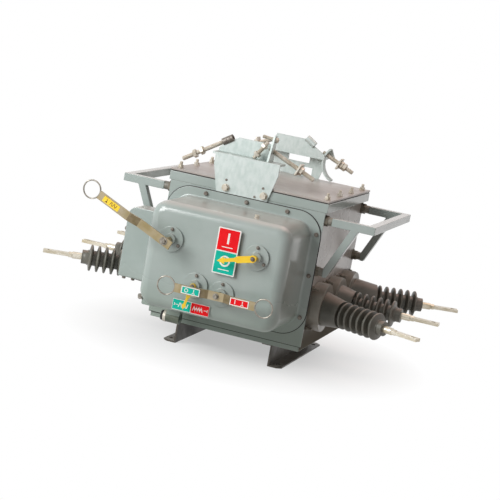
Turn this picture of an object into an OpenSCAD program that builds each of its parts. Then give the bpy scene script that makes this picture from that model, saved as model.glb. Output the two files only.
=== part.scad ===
// Pole-mounted vacuum circuit breaker.
// A square welded tank stands on two bent feet. The spring mechanism sits under a deep-drawn cover on
// the front plate, three bushings leave each side wall, and two galvanised brackets on top carry the
// hook bolts that hang the breaker from a crossarm.
// Front is -Y, up is +Z, and the origin is the centre of the foot bolts on the ground.

/* [Tank] */
// Width of the tank between its side walls
tank_w = 492; // [440:1:560]
// Depth of the tank behind the front plate
tank_d = 498; // [460:1:560]
// Height of the tank floor above the ground
tank_floor = 70; // [40:1:110]
// Height of the tank wall
tank_h = 464; // [440:1:540]
// Height of the rim round the top of the wall
rim_h = 28; // [12:1:40]
// Overhang of the rim beyond the side and rear walls
rim_out = 12; // [4:1:25]
// Thickness of the front plate
plate_t = 6; // [3:0.5:12]
// Overhang of the front plate beyond each side wall
plate_out = 6; // [0:1:12]
// Thickness of the lid gasket
gasket_t = 3; // [2:0.5:6]
// Setback of the gasket from the edge of the lid
gasket_in = 2; // [1:0.5:6]
// Thickness of the lid
lid_t = 6; // [4:0.5:12]

/* [Mechanism cover] */
// Setback of the flange from the side edges of the front plate
flange_in = 1; // [0:0.5:10]
// Distance from the tank's top down to the flange
flange_drop = 35; // [30:1:60]
// Thickness of the bolted flange
flange_t = 4; // [2:0.5:10]
// Corner radius of the flange
flange_r = 78; // [60:1:100]
// Width of the flange outside the drawn body
flange_rim = 30; // [20:1:36]
// Height of the flange above the tank floor
flange_rise = 47; // [30:1:60]
// Depth of the cover in front of the front plate
cover_depth = 218; // [180:1:250]
// Radius where the face meets the sides of the body
face_r = 34; // [20:1:45]

/* [Terminal box and control socket] */
// Reach of the terminal box beyond the cover's side
box_reach = 112; // [80:1:140]
// Depth of the terminal box
box_d = 75; // [50:1:90]
// Height of the terminal box
box_h = 212; // [120:1:224]
// Gap between the terminal box and the front plate
box_gap = 30; // [22:1:45]
// Radius of the terminal box's upper outer edge
box_r = 30; // [10:1:50]
// Radius of the control socket's shell
socket_r = 15; // [10:1:20]
// Length of the control socket's shell
socket_len = 62; // [40:1:80]
// Distance from the cover's left side to the control socket's left end
socket_in = 35; // [20:1:70]
// Distance from the front plate to the control socket's axis
socket_out = 57; // [40:1:90]
// Drop from the cover's bottom to the control socket's axis
socket_drop = 51; // [30:1:60]
// Width of the block that holds the control socket
socket_block = 43; // [30:1:55]

/* [Bearings on the face] */
// Radius of a bearing flange
bearing_r = 38; // [30:1:40]
// Thickness of a bearing flange
bearing_t = 6; // [4:0.5:10]
// Radius of the bearing's nose
nose_r = 17; // [14:0.5:24]
// Length of the bearing's nose
nose_len = 12; // [8:0.5:16]
// Radius of the shafts
shaft_r = 8; // [6:0.5:10]
// Radial running clearance of the shafts
shaft_gap = 0.06; // [0.02:0.01:0.1]
// Distance from the cover's left side to the charging handle pivot
handle_in = 81; // [60:1:95]
// Height of the charging handle pivot above the cover's centre
handle_rise = 54; // [20:1:70]
// Distance from the cover's right side to the position pointer pivot
position_in = 92; // [75:1:135]
// Height of the position pointer pivot above the cover's centre
position_rise = 57; // [20:1:70]
// Distance from the centreline to the charge pointer pivot on its left
charge_left = 41; // [37:1:50]
// Drop from the cover's centre to the charge pointer pivot
charge_drop = 65; // [55:1:75]
// Distance from the centreline to the close and trip lever pivot on its right
lever_right = 43; // [41:1:55]
// Drop from the cover's centre to the close and trip lever pivot
lever_drop = 72; // [65:1:80]

/* [Levers and pointers] */
// Width of the lever bars
bar_w = 26; // [20:1:32]
// Thickness of the lever bars
bar_t = 6; // [4:0.5:8]
// Forward step in the lever bars
bar_step = 14; // [8:1:20]
// Radius of an operating ring at the middle of its wire
ring_r = 27; // [20:0.5:32]
// Radius of the ring wire
ring_wire_r = 3.5; // [2:0.5:4]
// Charging handle, pivot to ring centre
handle_len = 264; // [220:1:300]
// Length of the charging handle behind its pivot
handle_tail = 25; // [13:1:30]
// Angle of the charging handle above the horizontal
handle_angle = 23.4; // [0:0.1:45]
// Where the step in the charging handle starts, from the pivot
handle_step_at = 92; // [70:1:120]
// Close and trip lever, pivot to ring centre
lever_len = 152; // [140:1:165]
// Where the steps in the close and trip lever start, from the pivot
lever_step_at = 24; // [20:1:40]
// Length of a step measured along the bar
step_len = 34; // [20:1:44]
// Front of the cover to the middle of the charging handle at its pivot
handle_off = 65; // [58:1:80]
// Front of the cover to the middle of the close and trip lever at its pivot
lever_off = 52; // [48:1:60]
// Front of the cover to the middle of the position pointer
position_off = 40; // [32:1:42]
// Front of the cover to the middle of the charge pointer
charge_off = 27; // [25:1:30]
// Thickness of the pointers
pointer_t = 2; // [1.5:0.5:4]
// Length of the position pointer
position_len = 110; // [90:1:125]
// Droop of the position pointer below the horizontal
position_angle = 14.5; // [5:0.5:25]
// Half width of the position pointer at its pivot
position_half_w = 11; // [8:0.5:16]
// Length of the charge pointer
charge_len = 77; // [60:1:85]
// Swing of the charge pointer to the left of the vertical
charge_angle = 14.5; // [5:0.5:30]
// Half width of the charge pointer at its pivot
charge_half_w = 8; // [7:0.5:12]
// Share of a pointer's length that is broad, from its pivot
pointer_broad = 0.42; // [0.3:0.01:0.5]
// Share of a pointer's length that is arrowhead
pointer_head = 0.2; // [0.12:0.01:0.3]
// Width of a pointer's neck as a share of its full width
pointer_neck = 0.5; // [0.35:0.01:0.7]

/* [Bushings] */
// Distance between neighbouring bushings along the wall
bush_pitch = 165; // [155:1:170]
// Height of the bushing axes above the tank floor
bush_rise = 136; // [110:1:160]
// Angle by which the outer bushings fan out
bush_fan = 22; // [0:1:26]
// Length that the outer bushings have more in their base
fan_extra = 28; // [0:1:40]
// Radius of the mounting collar on the wall
collar_r = 75; // [68:1:77]
// Thickness of the mounting collar
collar_t = 40; // [24:1:48]
// Radius of the insulator base at the collar
base_r = 53; // [45:1:56]
// Radius of the insulator base at the sheds
base_end_r = 42; // [36:1:46]
// Distance from the wall to the end of the base
base_end = 87; // [80:1:110]
// Radius of the sheds
shed_r = 42; // [38:1:46]
// Radius of the core between the sheds
core_r = 24; // [20:1:30]
// Distance between sheds
shed_pitch = 23.4; // [20:0.2:26]
// Number of sheds
shed_count = 6; // [4:1:8]
// Radius of a shed's rounded edge
shed_tip_r = 4; // [3:0.25:5]
// Half thickness of a shed at the core
shed_root = 7.5; // [5.5:0.5:9.5]
// Radius of the insulator's end cap
cap_r = 22; // [16:1:23]
// Length of the insulator's end cap
cap_len = 17; // [12:1:30]

/* [Terminals] */
// Radius of the terminal rod
rod_r = 9; // [7:0.5:12]
// Length of the terminal rod
rod_len = 42; // [30:1:50]
// Width of the terminal's flat bar
tongue_w = 25; // [20:1:30]
// Thickness of the terminal's flat bar
tongue_t = 10; // [6:1:14]
// Length of the terminal's flat bar
tongue_len = 90; // [80:1:120]
// Radius of the terminal's bolt hole
tongue_hole_r = 6.5; // [4:0.5:7]
// Distance from the terminal's end to its bolt hole
tongue_hole_in = 18; // [14:1:40]

/* [Feet] */
// Distance from a side wall in to the web of the foot under it
foot_in = 90; // [60:1:120]
// Setback of a foot's ends from the ends of the tank
foot_end = 14; // [4:1:40]
// Thickness of the foot plate
foot_t = 5; // [4:0.5:8]
// Width of the outward foot flange
foot_flange = 44; // [36:1:60]
// Width of the inward flange under the tank
foot_seat = 34; // [20:1:50]
// Radius of the foot bolt holes
foot_hole_r = 9; // [6:0.5:11]
// Distance of the foot bolt holes from the web
foot_hole_out = 24; // [20:1:30]
// Distance of the foot bolt holes from the foot's ends
foot_hole_end = 38; // [25:1:60]
// Corner cut at the free corners of the foot flange
foot_chamfer = 14; // [4:1:20]

/* [Hanging brackets] */
// Offset of the brackets from the centreline
bracket_x = -17; // [-30:1:20]
// Thickness of the bracket plates
bracket_t = 6; // [4:0.5:8]
// Width of the bracket at its bolted foot
bracket_foot_w = 165; // [140:1:190]
// Width of the bracket at its top
bracket_top_w = 208; // [190:1:220]
// Overlap of the bracket with the tank wall
bracket_lap = 32; // [26:1:33]
// Height of the bracket's top above the tank wall
bracket_h = 86; // [70:1:110]
// Height of the bracket's straight upper edge
bracket_straight = 36; // [20:1:44]
// Depth of the bracket's shelf
shelf_d = 60; // [50:1:75]
// Reach of the shelf from the bracket's middle to its sleeve end
shelf_reach = 114; // [110:1:125]
// Height of the upstand behind the shelf
upstand_h = 51; // [40:1:60]
// Height of the upstand at its sleeve end
upstand_low = 10; // [6:1:16]
// Length of the slanting edge of the upstand, measured along the shelf
upstand_slant = 48; // [40:1:60]
// The same length on the rear bracket
rear_slant = 74; // [60:1:80]
// Distance from the bracket's middle to the ear
ear_reach = 60; // [50:1:75]
// Height of the ear above the shelf
ear_h = 79; // [60:1:85]
// Width of the ear at its top
ear_top_w = 22; // [18:1:32]
// Distance from the bracket's middle to the middle of the sleeve
sleeve_reach = 90; // [84:1:94]
// Height of the sleeve above the shelf
sleeve_rise = 37; // [34:1:46]
// Distance from the rear bracket's middle to the middle of its sleeve
rear_sleeve_reach = 59; // [54:1:64]
// Height of the rear sleeve above the shelf
rear_sleeve_rise = 45; // [40:1:48]
// Radius of the sleeves
sleeve_r = 11.5; // [10:0.5:15]
// Length of the sleeves
sleeve_len = 36; // [30:1:50]
// Width of the window under the rear bracket's shelf
window_w = 74; // [50:1:80]
// Height of the window under the rear bracket's shelf
window_h = 22; // [14:1:24]
// Width of the rear bracket's lower window
low_window_w = 29; // [20:1:36]
// Height of the rear bracket's lower window
low_window_h = 28; // [20:1:30]

/* [Rear claw] */
// Radius of the claw's bend
claw_r = 62; // [50:1:66]
// Height of the claw above its hook bolt
claw_top = 24; // [18:1:30]
// Width of the claw strip
claw_w = 30; // [24:1:34]
// Length of the rib between the claw and its hook bolt
claw_rib = 34; // [20:1:44]

/* [Hook bolts] */
// Radius of the hook bolts
hook_r = 7; // [5:0.5:8]
// Radial clearance of the hook bolts in their holes
hook_gap = 0.25; // [0.1:0.05:0.4]
// Downward slope of the hook bolt in the sleeve
sleeve_slope = 32.5; // [28:0.5:36]
// Downward slope of the other hook bolts
hook_slope = 23; // [15:1:28]
// Length of a hook bolt inside its hole
hook_inner = 14; // [12:1:20]
// Length of the front left hook bolt outside the middle of its sleeve
hook_long = 162; // [130:1:180]
// Length of the front right hook bolt outside its ear
hook_front = 156; // [100:1:160]
// Length of the rear hook bolts outside their holes
hook_rear = 108; // [90:1:130]
// Height of the ears' hook bolts above the shelf
ear_hook = 32; // [26:1:40]
// Height of the claw's hook bolt above the shelf
claw_hook = 12; // [11:1:20]

/* [Side frames] */
// Side of the square bar
frame_bar = 25; // [18:1:32]
// Reach of a frame beyond the side wall
frame_reach = 164; // [130:1:200]
// Distance from the ends of the tank in to the middle of the bars
frame_in = 14; // [13:1:40]
// Height of the frame above the bushing axes
frame_rise = 276; // [240:1:290]
// Drop from the frame to the lower bosses
brace_drop = 157; // [120:1:180]
// Reach of the brace's upper end beyond the side wall
brace_reach = 104; // [80:1:120]
// Radius of the wall bosses
boss_r = 13; // [10:0.5:16]
// Length of the wall bosses
boss_len = 28; // [16:1:40]

/* [Hidden] */
$fn = 64;
hull_fn = 40;

paint = [0.63, 0.69, 0.66];
foot_paint = [0.12, 0.12, 0.12];
rubber = [0.30, 0.27, 0.25];
zinc = [0.76, 0.71, 0.58];
galvanised = [0.80, 0.85, 0.84];
tinned = [0.85, 0.81, 0.72];
signal_yellow = [0.98, 0.82, 0.10];

// Joint overlap of pieces that are welded or cast in one
weld = 1;
wall_x = tank_w / 2;
front_y = -tank_d / 2 - plate_t;
rear_y = tank_d / 2 + rim_out;
tank_top = tank_floor + tank_h;
lid_z = tank_top + gasket_t;
flange_h = tank_h - flange_rise - flange_drop;
cover_z = tank_floor + flange_rise + flange_h / 2;
flange_w = tank_w + 2 * plate_out - 2 * flange_in;
body_w = flange_w - 2 * flange_rim;
body_h = flange_h - 2 * flange_rim;
body_r = flange_r - flange_rim;
face_y = front_y - cover_depth;
body_left = -body_w / 2;
body_bottom = cover_z - body_h / 2;
handle_x = body_left + handle_in;
position_x = body_w / 2 - position_in;
foot_span = tank_w - 2 * foot_in;
foot_len = tank_d - 2 * foot_end;
foot_hole_pitch = foot_len - 2 * foot_hole_end;
frame_span = tank_d - 2 * frame_in;
bush_z = tank_floor + bush_rise;
frame_z = bush_z + frame_rise;
shelf_z = tank_top + bracket_h;
straight_z = shelf_z - bracket_straight;
window_drop = 10;
// Middle of the upstand, the ears and the claw, measured back from the face that the bracket bolts to
upstand_y = 1.5 * bracket_t - shelf_d;
ear_y = bracket_t + ear_top_w / 2 - shelf_d;
claw_y = 2 * bracket_t + claw_w / 2 - shelf_d - weld;
// Distances from the wall along the axis of a bushing in a row: -1 front, 0 middle, 1 rear
function sheds_start(row) = base_end + abs(row) * fan_extra;
function sheds_end(row) = sheds_start(row) + shed_count * shed_pitch;
function cap_end(row) = sheds_end(row) + cap_len;

// Flat rectangle with round corners, centred
module round_rect(w, h, r) {
    square([w - 2 * r, h], center = true);
    square([w, h - 2 * r], center = true);
    for (sx = [-1, 1], sz = [-1, 1])
        translate([sx * (w / 2 - r), sz * (h / 2 - r)])
            circle(r);
}

// Puts a flat shape in the XZ plane, its thickness running back from y
module upright(y, t) {
    translate([0, y + t, 0])
        rotate([90, 0, 0])
            linear_extrude(t)
                children();
}

// Welded tank with a rim round its top
module tank() {
    color(paint) {
        translate([-wall_x, -tank_d / 2, tank_floor])
            cube([tank_w, tank_d, tank_h]);
        translate([-wall_x - rim_out, front_y, tank_top - rim_h])
            cube([tank_w + 2 * rim_out, rear_y - front_y, rim_h]);
    }
}

// Plate that closes the front of the tank under its rim and carries the mechanism
module front_plate() {
    color(paint)
        translate([-wall_x - plate_out, front_y, tank_floor])
            cube([tank_w + 2 * plate_out, plate_t, tank_h - rim_h]);
}

// Flat sheet over the tank, drawn in from the lid's edge
module lid_sheet(inset, t) {
    w = tank_w + 2 * rim_out - 2 * inset;
    d = rear_y - front_y - 2 * inset;
    translate([-w / 2, front_y + inset, 0])
        cube([w, d, t]);
}

module lid_gasket() {
    color("black")
        translate([0, 0, tank_top])
            lid_sheet(gasket_in, gasket_t);
}

module tank_lid() {
    color(paint)
        translate([0, 0, lid_z])
            lid_sheet(0, lid_t);
}

// Deep-drawn cover: a body with round corners and a rolled face edge, on a flat bolted flange
module mechanism_cover() {
    color(paint) {
        translate([0, 0, cover_z])
            upright(front_y - flange_t, flange_t)
                round_rect(flange_w, flange_h, flange_r);
        hull()
            for (sx = [-1, 1], sz = [-1, 1])
                translate([sx * (body_w / 2 - body_r), 0, cover_z + sz * (body_h / 2 - body_r)])
                    cover_corner();
    }
}

// One corner of the drawn body, from the flange to the rolled face edge
module cover_corner() {
    translate([0, front_y - flange_t / 2, 0])
        rotate([90, 0, 0])
            cylinder(r = body_r, h = 1, $fn = hull_fn);
    translate([0, face_y + face_r, 0])
        rotate([90, 0, 0])
            rotate_extrude($fn = hull_fn)
                intersection() {
                    translate([body_r - face_r, 0])
                        circle(face_r, $fn = hull_fn);
                    square([body_r, 2 * face_r]);
                }
}

// Sheet-metal terminal box on the left side of the cover, its upper outer edge rounded
module terminal_box() {
    color(paint)
        translate([body_left - box_reach, 0, cover_z - box_h / 2])
            upright(front_y - box_gap - box_d, box_d)
                difference() {
                    square([box_reach, box_h]);
                    difference() {
                        translate([0, box_h - box_r])
                            square(box_r);
                        translate([box_r, box_h - box_r])
                            circle(box_r);
                    }
                }
}

// Control socket under the cover: a block bolted to the cover's bottom and a round shell facing left
module control_socket() {
    socket_x = body_left + socket_in;
    socket_y = front_y - socket_out;
    socket_z = body_bottom - socket_drop;
    color(paint) {
        translate([socket_x + socket_len - socket_block, socket_y - socket_r, socket_z])
            cube([socket_block, 2 * socket_r, socket_drop]);
        translate([socket_x, socket_y, socket_z])
            rotate([0, 90, 0])
                cylinder(r = socket_r, h = socket_len);
    }
}

// Bent foot: a web under the tank with a flange each way, running front to back
module foot(side) {
    web_x = foot_span / 2 - foot_t / 2;
    out_x = web_x + foot_flange;
    in_x = web_x + foot_t - foot_seat;
    color(foot_paint)
        mirror([side < 0 ? 1 : 0, 0, 0])
            difference() {
                union() {
                    translate([web_x, -foot_len / 2, 0])
                        cube([foot_t, foot_len, tank_floor]);
                    linear_extrude(foot_t)
                        polygon([
                            [web_x, -foot_len / 2],
                            [out_x - foot_chamfer, -foot_len / 2],
                            [out_x, -foot_len / 2 + foot_chamfer],
                            [out_x, foot_len / 2 - foot_chamfer],
                            [out_x - foot_chamfer, foot_len / 2],
                            [web_x, foot_len / 2]
                        ]);
                    translate([in_x, -foot_len / 2, tank_floor - foot_t])
                        cube([foot_seat, foot_len, foot_t]);
                }
                for (sy = [-1, 1])
                    translate([foot_span / 2 + foot_hole_out, sy * foot_hole_pitch / 2, -weld])
                        cylinder(r = foot_hole_r, h = foot_t + 2 * weld);
            }
}

// Places a piece of the front bracket, or of the rear one, which is the same turned round
module at_front() {
    translate([bracket_x, front_y, 0])
        rotate(180)
            children();
}

module at_rear() {
    translate([bracket_x, rear_y, 0])
        children();
}

// Places a hook bolt's axis on a bracket: the children's +Z runs outwards and down
module at_hook(x, y, rise, slope) {
    side = x < 0 ? -1 : 1;
    translate([x, y, shelf_z + rise])
        rotate([0, side * (90 + slope), 0])
            children();
}

module at_sleeve(x, rise) {
    at_hook(x, upstand_y, rise, sleeve_slope)
        children();
}

module at_ear() {
    at_hook(-ear_reach, ear_y, ear_hook, hook_slope)
        children();
}

module at_claw() {
    at_hook(shelf_reach, claw_y, claw_hook, hook_slope)
        children();
}

// Hole for a hook bolt
module hook_hole() {
    cylinder(r = hook_r + hook_gap, h = 2 * sleeve_len, center = true);
}

// Hanging bracket drawn for the rear wall, from y = 0 outwards, its sleeve end towards +X
module bracket(ear_top, slant) {
    foot_z = tank_top - bracket_lap;
    upright(0, bracket_t)
        polygon([
            [-bracket_foot_w / 2, foot_z],
            [bracket_foot_w / 2, foot_z],
            [bracket_top_w / 2, straight_z],
            [bracket_top_w / 2, shelf_z],
            [-bracket_top_w / 2, shelf_z],
            [-bracket_top_w / 2, straight_z]
        ]);
    translate([-bracket_top_w / 2, bracket_t - shelf_d, shelf_z - bracket_t])
        cube([bracket_top_w / 2 + shelf_reach, shelf_d, bracket_t]);
    translate([0, 0, shelf_z])
        upright(bracket_t - shelf_d, bracket_t)
            polygon([
                [-ear_reach, -bracket_t],
                [shelf_reach, -bracket_t],
                [shelf_reach, upstand_low],
                [shelf_reach - slant, upstand_h],
                [-ear_reach, upstand_h]
            ]);
    translate([-ear_reach - bracket_t / 2, 0, shelf_z])
        ear(ear_top);
}

module sleeve() {
    cylinder(r = sleeve_r, h = sleeve_len, center = true);
}

// Upright gusset across the shelf that a hook bolt passes through
module ear(top) {
    back = bracket_t - shelf_d;
    rotate([90, 0, 90])
        linear_extrude(bracket_t)
            polygon([
                [back, -bracket_t],
                [0, -bracket_t],
                [back + ear_top_w, top],
                [back, top]
            ]);
}

// Claw at the end of the rear shelf: a strip bent outwards round its hook bolt, with a rib above
module claw() {
    lean = claw_r - sqrt(pow(claw_r, 2) - pow(claw_top, 2));
    rotate([90, 0, 0])
        linear_extrude(claw_w, center = true)
            claw_strip();
    translate([0, claw_w / 2 - weld, 0])
        rotate([90, 0, 0])
            linear_extrude(bracket_t)
                polygon([[-claw_top, lean], [0, claw_rib], [0, 0]]);
}

// Side view of the claw strip: +Y runs along the hook bolt, and +X down from it
module claw_strip() {
    intersection() {
        translate([0, claw_r])
            difference() {
                circle(claw_r + bracket_t / 2);
                circle(claw_r - bracket_t / 2);
            }
        translate([-claw_top, -bracket_t])
            square([claw_top + claw_r + bracket_t, claw_r + bracket_t]);
    }
}

// Two windows in the rear bracket's plate, the lower one beside the other's outer end
module windows() {
    window_end = bracket_top_w / 4;
    low_end = window_end + low_window_w / 2;
    translate([window_end - window_w, -weld, shelf_z - window_h - window_drop])
        cube([window_w, bracket_t + 2 * weld, window_h]);
    translate([low_end - low_window_w, -weld, straight_z - window_drop - low_window_h])
        cube([low_window_w, bracket_t + 2 * weld, low_window_h]);
}

module front_bracket() {
    color(galvanised)
        at_front()
            difference() {
                union() {
                    bracket(ear_h, upstand_slant);
                    at_sleeve(sleeve_reach, sleeve_rise)
                        sleeve();
                }
                at_sleeve(sleeve_reach, sleeve_rise)
                    hook_hole();
                at_ear()
                    hook_hole();
            }
}

module rear_bracket() {
    color(galvanised)
        at_rear()
            difference() {
                union() {
                    bracket(upstand_h - bracket_t, rear_slant);
                    at_sleeve(rear_sleeve_reach, rear_sleeve_rise)
                        sleeve();
                    at_claw()
                        claw();
                }
                windows();
                at_ear()
                    hook_hole();
                at_claw()
                    hook_hole();
            }
}

// Straight threaded rod with bevelled ends, through its hole in a bracket
module hook_bolt(outer) {
    bevel = hook_r / 4;
    color(zinc)
        translate([0, 0, -hook_inner])
            rotate_extrude()
                polygon([
                    [0, 0],
                    [hook_r - bevel, 0],
                    [hook_r, bevel],
                    [hook_r, hook_inner + outer - bevel],
                    [hook_r - bevel, hook_inner + outer],
                    [0, hook_inner + outer]
                ]);
}

module front_left_hook_bolt() {
    at_front()
        at_sleeve(sleeve_reach, sleeve_rise)
            hook_bolt(hook_long);
}

module front_right_hook_bolt() {
    at_front()
        at_ear()
            hook_bolt(hook_front);
}

module rear_left_hook_bolt() {
    at_rear()
        at_ear()
            hook_bolt(hook_rear);
}

module rear_right_hook_bolt() {
    at_rear()
        at_claw()
            hook_bolt(hook_rear);
}

// Guard frame on a side wall: two bars out, one along the end, and a brace under each bar
module side_frame(side) {
    inner = wall_x + boss_len;
    outer = wall_x + frame_reach;
    color(paint)
        mirror([side < 0 ? 1 : 0, 0, 0]) {
            for (sy = [-1, 1]) {
                translate([inner, sy * frame_span / 2 - frame_bar / 2, frame_z - frame_bar / 2])
                    cube([outer - inner, frame_bar, frame_bar]);
                brace(sy * frame_span / 2 - frame_bar / 2, inner);
            }
            translate([outer - frame_bar, -frame_span / 2, frame_z - frame_bar / 2])
                cube([frame_bar, frame_span, frame_bar]);
        }
}

// Slanting bar from the lower boss up to the frame
module brace(y, inner) {
    low = frame_z - brace_drop;
    high = wall_x + brace_reach;
    upright(y, frame_bar)
        polygon([
            [inner, low - boss_r],
            [inner + frame_bar / 2, low - boss_r],
            [high + frame_bar / 2, frame_z - frame_bar / 4],
            [high - frame_bar / 2, frame_z - frame_bar / 4],
            [inner, low + boss_r]
        ]);
}

// Round bosses welded to a side wall, which the frame is bolted to
module frame_bosses(side) {
    color(paint)
        for (sy = [-1, 1], drop = [0, brace_drop])
            translate([side * wall_x, sy * frame_span / 2, frame_z - drop])
                rotate([0, side * 90, 0])
                    cylinder(r = boss_r, h = boss_len);
}

// Mounting collars of the three bushings of a side wall
module collars(side) {
    color(paint)
        for (row = [-1, 0, 1])
            translate([side * wall_x, row * bush_pitch, bush_z])
                rotate([0, side * 90, 0])
                    cylinder(r = collar_r, h = collar_t);
}

// Places a bushing: the children's +Z runs out along its axis from the wall
module at_bushing(side, row) {
    translate([side * wall_x, row * bush_pitch, bush_z])
        rotate([0, 0, side * row * bush_fan])
            rotate([0, side * 90, 0])
                children();
}

// Moulded insulator: a conical base, a stack of sheds and an end cap, cut flat at its collar
module insulator(side, row) {
    start = -base_r;
    color(rubber)
        difference() {
            at_bushing(side, row)
                rotate_extrude()
                    insulator_profile(start, row);
            translate([side * (wall_x + collar_t - 2 * base_r), row * bush_pitch, bush_z])
                cube([4 * base_r, 6 * base_r, 4 * base_r], center = true);
        }
}

// Half section of an insulator from a start behind its collar
module insulator_profile(start, row) {
    polygon([
        [0, start],
        [base_r, start],
        [base_r, collar_t],
        [base_end_r, sheds_start(row)],
        [core_r, sheds_start(row)],
        [core_r, sheds_end(row)],
        [cap_r, sheds_end(row)],
        [cap_r, cap_end(row)],
        [0, cap_end(row)]
    ]);
    for (i = [0 : shed_count - 1])
        translate([0, sheds_start(row) + (i + 0.5) * shed_pitch])
            shed_profile();
}

// Half section of one shed, thinner at its rounded edge
module shed_profile() {
    tip = shed_r - shed_tip_r;
    polygon([
        [core_r - weld, -shed_root],
        [tip, -shed_tip_r],
        [tip, shed_tip_r],
        [core_r - weld, shed_root]
    ]);
    translate([tip, 0])
        circle(shed_tip_r);
}

// Terminal: a round rod out of the cap that ends in a drilled flat bar
module terminal(side, row) {
    tongue_start = cap_end(row) + rod_len - tongue_t;
    hole_at = tongue_start + tongue_len - tongue_hole_in;
    color(tinned)
        at_bushing(side, row)
            difference() {
                union() {
                    translate([0, 0, cap_end(row)])
                        cylinder(r = rod_r, h = rod_len);
                    translate([-tongue_t / 2, -tongue_w / 2, tongue_start])
                        cube([tongue_t, tongue_w, tongue_len]);
                }
                translate([0, 0, hole_at])
                    rotate([0, 90, 0])
                        cylinder(r = tongue_hole_r, h = 2 * tongue_t, center = true);
            }
}

// Places something on the cover's face: the children's +Z runs out of the face, their +Y up
module on_face(x, z, turn = 0) {
    translate([x, face_y, cover_z + z])
        rotate([90, 0, 0])
            rotate(turn)
                children();
}

// Round bearing flange with a nose that guides a shaft
module bearing() {
    color(paint)
        difference() {
            union() {
                cylinder(r = bearing_r, h = bearing_t);
                cylinder(r = nose_r, h = bearing_t + nose_len);
            }
            translate([0, 0, -weld])
                cylinder(r = shaft_r + shaft_gap, h = bearing_t + nose_len + 2 * weld);
        }
}

// Shaft from inside the bearing to the back of what it turns
module shaft(back) {
    translate([0, 0, weld])
        cylinder(r = shaft_r, h = back - weld);
}

// Side outline of a lever arm that steps forward, drawn along +X with its thickness in +Y
module stepped_strip(from, step_at, len) {
    polygon([
        [from, 0],
        [step_at, 0],
        [step_at + step_len, bar_step],
        [len, bar_step],
        [len, bar_step + bar_t],
        [step_at + step_len, bar_step + bar_t],
        [step_at, bar_t],
        [from, bar_t]
    ]);
}

// Lever arm along +X with its operating ring, its back at the pivot lying at height z
module ring_arm(z, from, step_at, len) {
    ring_z = z + bar_step + bar_t / 2;
    translate([0, bar_w / 2, z])
        rotate([90, 0, 0])
            linear_extrude(bar_w)
                stepped_strip(from, step_at, len - ring_r);
    translate([len, 0, ring_z])
        rotate_extrude()
            translate([ring_r, 0])
                circle(ring_wire_r);
}

// Charging handle: a stepped bar on its shaft, with a ring at the far end
module charging_handle() {
    back = handle_off - bar_t / 2;
    color(zinc)
        on_face(handle_x, handle_rise, 180 - handle_angle) {
            shaft(back + bar_t / 2);
            ring_arm(back, -handle_tail, handle_step_at, handle_len);
        }
}

// Close and trip lever: two stepped arms with rings, on one shaft
module close_trip_lever() {
    back = lever_off - bar_t / 2;
    color(zinc)
        on_face(lever_right, -lever_drop) {
            shaft(back + bar_t / 2);
            for (turn = [0, 180])
                rotate(turn)
                    ring_arm(back, -weld, lever_step_at, lever_len);
        }
}

// Flat pointer along +X on its shaft: broad at the pivot, then a neck and an arrowhead
module pointer(off, len, half_w) {
    back = off - pointer_t / 2;
    side_w = half_w - weld;
    neck_w = half_w * pointer_neck;
    broad_end = len * pointer_broad;
    neck_start = broad_end + half_w;
    head_start = len * (1 - pointer_head);
    shaft(back + pointer_t / 2);
    translate([0, 0, back])
        linear_extrude(pointer_t) {
            circle(half_w);
            polygon([
                [0, -side_w],
                [broad_end, -side_w],
                [neck_start, -neck_w],
                [head_start, -neck_w],
                [head_start, -half_w],
                [len, 0],
                [head_start, half_w],
                [head_start, neck_w],
                [neck_start, neck_w],
                [broad_end, side_w],
                [0, side_w]
            ]);
        }
}

module position_pointer() {
    color(signal_yellow)
        on_face(position_x, position_rise, 180 + position_angle)
            pointer(position_off, position_len, position_half_w);
}

module charge_pointer() {
    color(signal_yellow)
        on_face(-charge_left, -charge_drop, -90 - charge_angle)
            pointer(charge_off, charge_len, charge_half_w);
}

module handle_bearing() {
    on_face(handle_x, handle_rise)
        bearing();
}

module position_bearing() {
    on_face(position_x, position_rise)
        bearing();
}

module charge_bearing() {
    on_face(-charge_left, -charge_drop)
        bearing();
}

module lever_bearing() {
    on_face(lever_right, -lever_drop)
        bearing();
}

tank();
front_plate();
lid_gasket();
tank_lid();
mechanism_cover();
terminal_box();
control_socket();
foot(-1);  // left_foot
foot(1);  // right_foot
front_bracket();
rear_bracket();
front_left_hook_bolt();
front_right_hook_bolt();
rear_left_hook_bolt();
rear_right_hook_bolt();
side_frame(-1);  // left_frame
side_frame(1);  // right_frame
frame_bosses(-1);  // left_frame_bosses
frame_bosses(1);  // right_frame_bosses
collars(-1);  // left_collars
collars(1);  // right_collars
insulator(-1, -1);  // left_front_insulator
insulator(-1, 0);  // left_middle_insulator
insulator(-1, 1);  // left_rear_insulator
insulator(1, -1);  // right_front_insulator
insulator(1, 0);  // right_middle_insulator
insulator(1, 1);  // right_rear_insulator
terminal(-1, -1);  // left_front_terminal
terminal(-1, 0);  // left_middle_terminal
terminal(-1, 1);  // left_rear_terminal
terminal(1, -1);  // right_front_terminal
terminal(1, 0);  // right_middle_terminal
terminal(1, 1);  // right_rear_terminal
handle_bearing();
position_bearing();
charge_bearing();
lever_bearing();
charging_handle();
close_trip_lever();
position_pointer();
charge_pointer();
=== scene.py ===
import math

import bmesh
import bpy
from mathutils import Matrix, Vector


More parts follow.
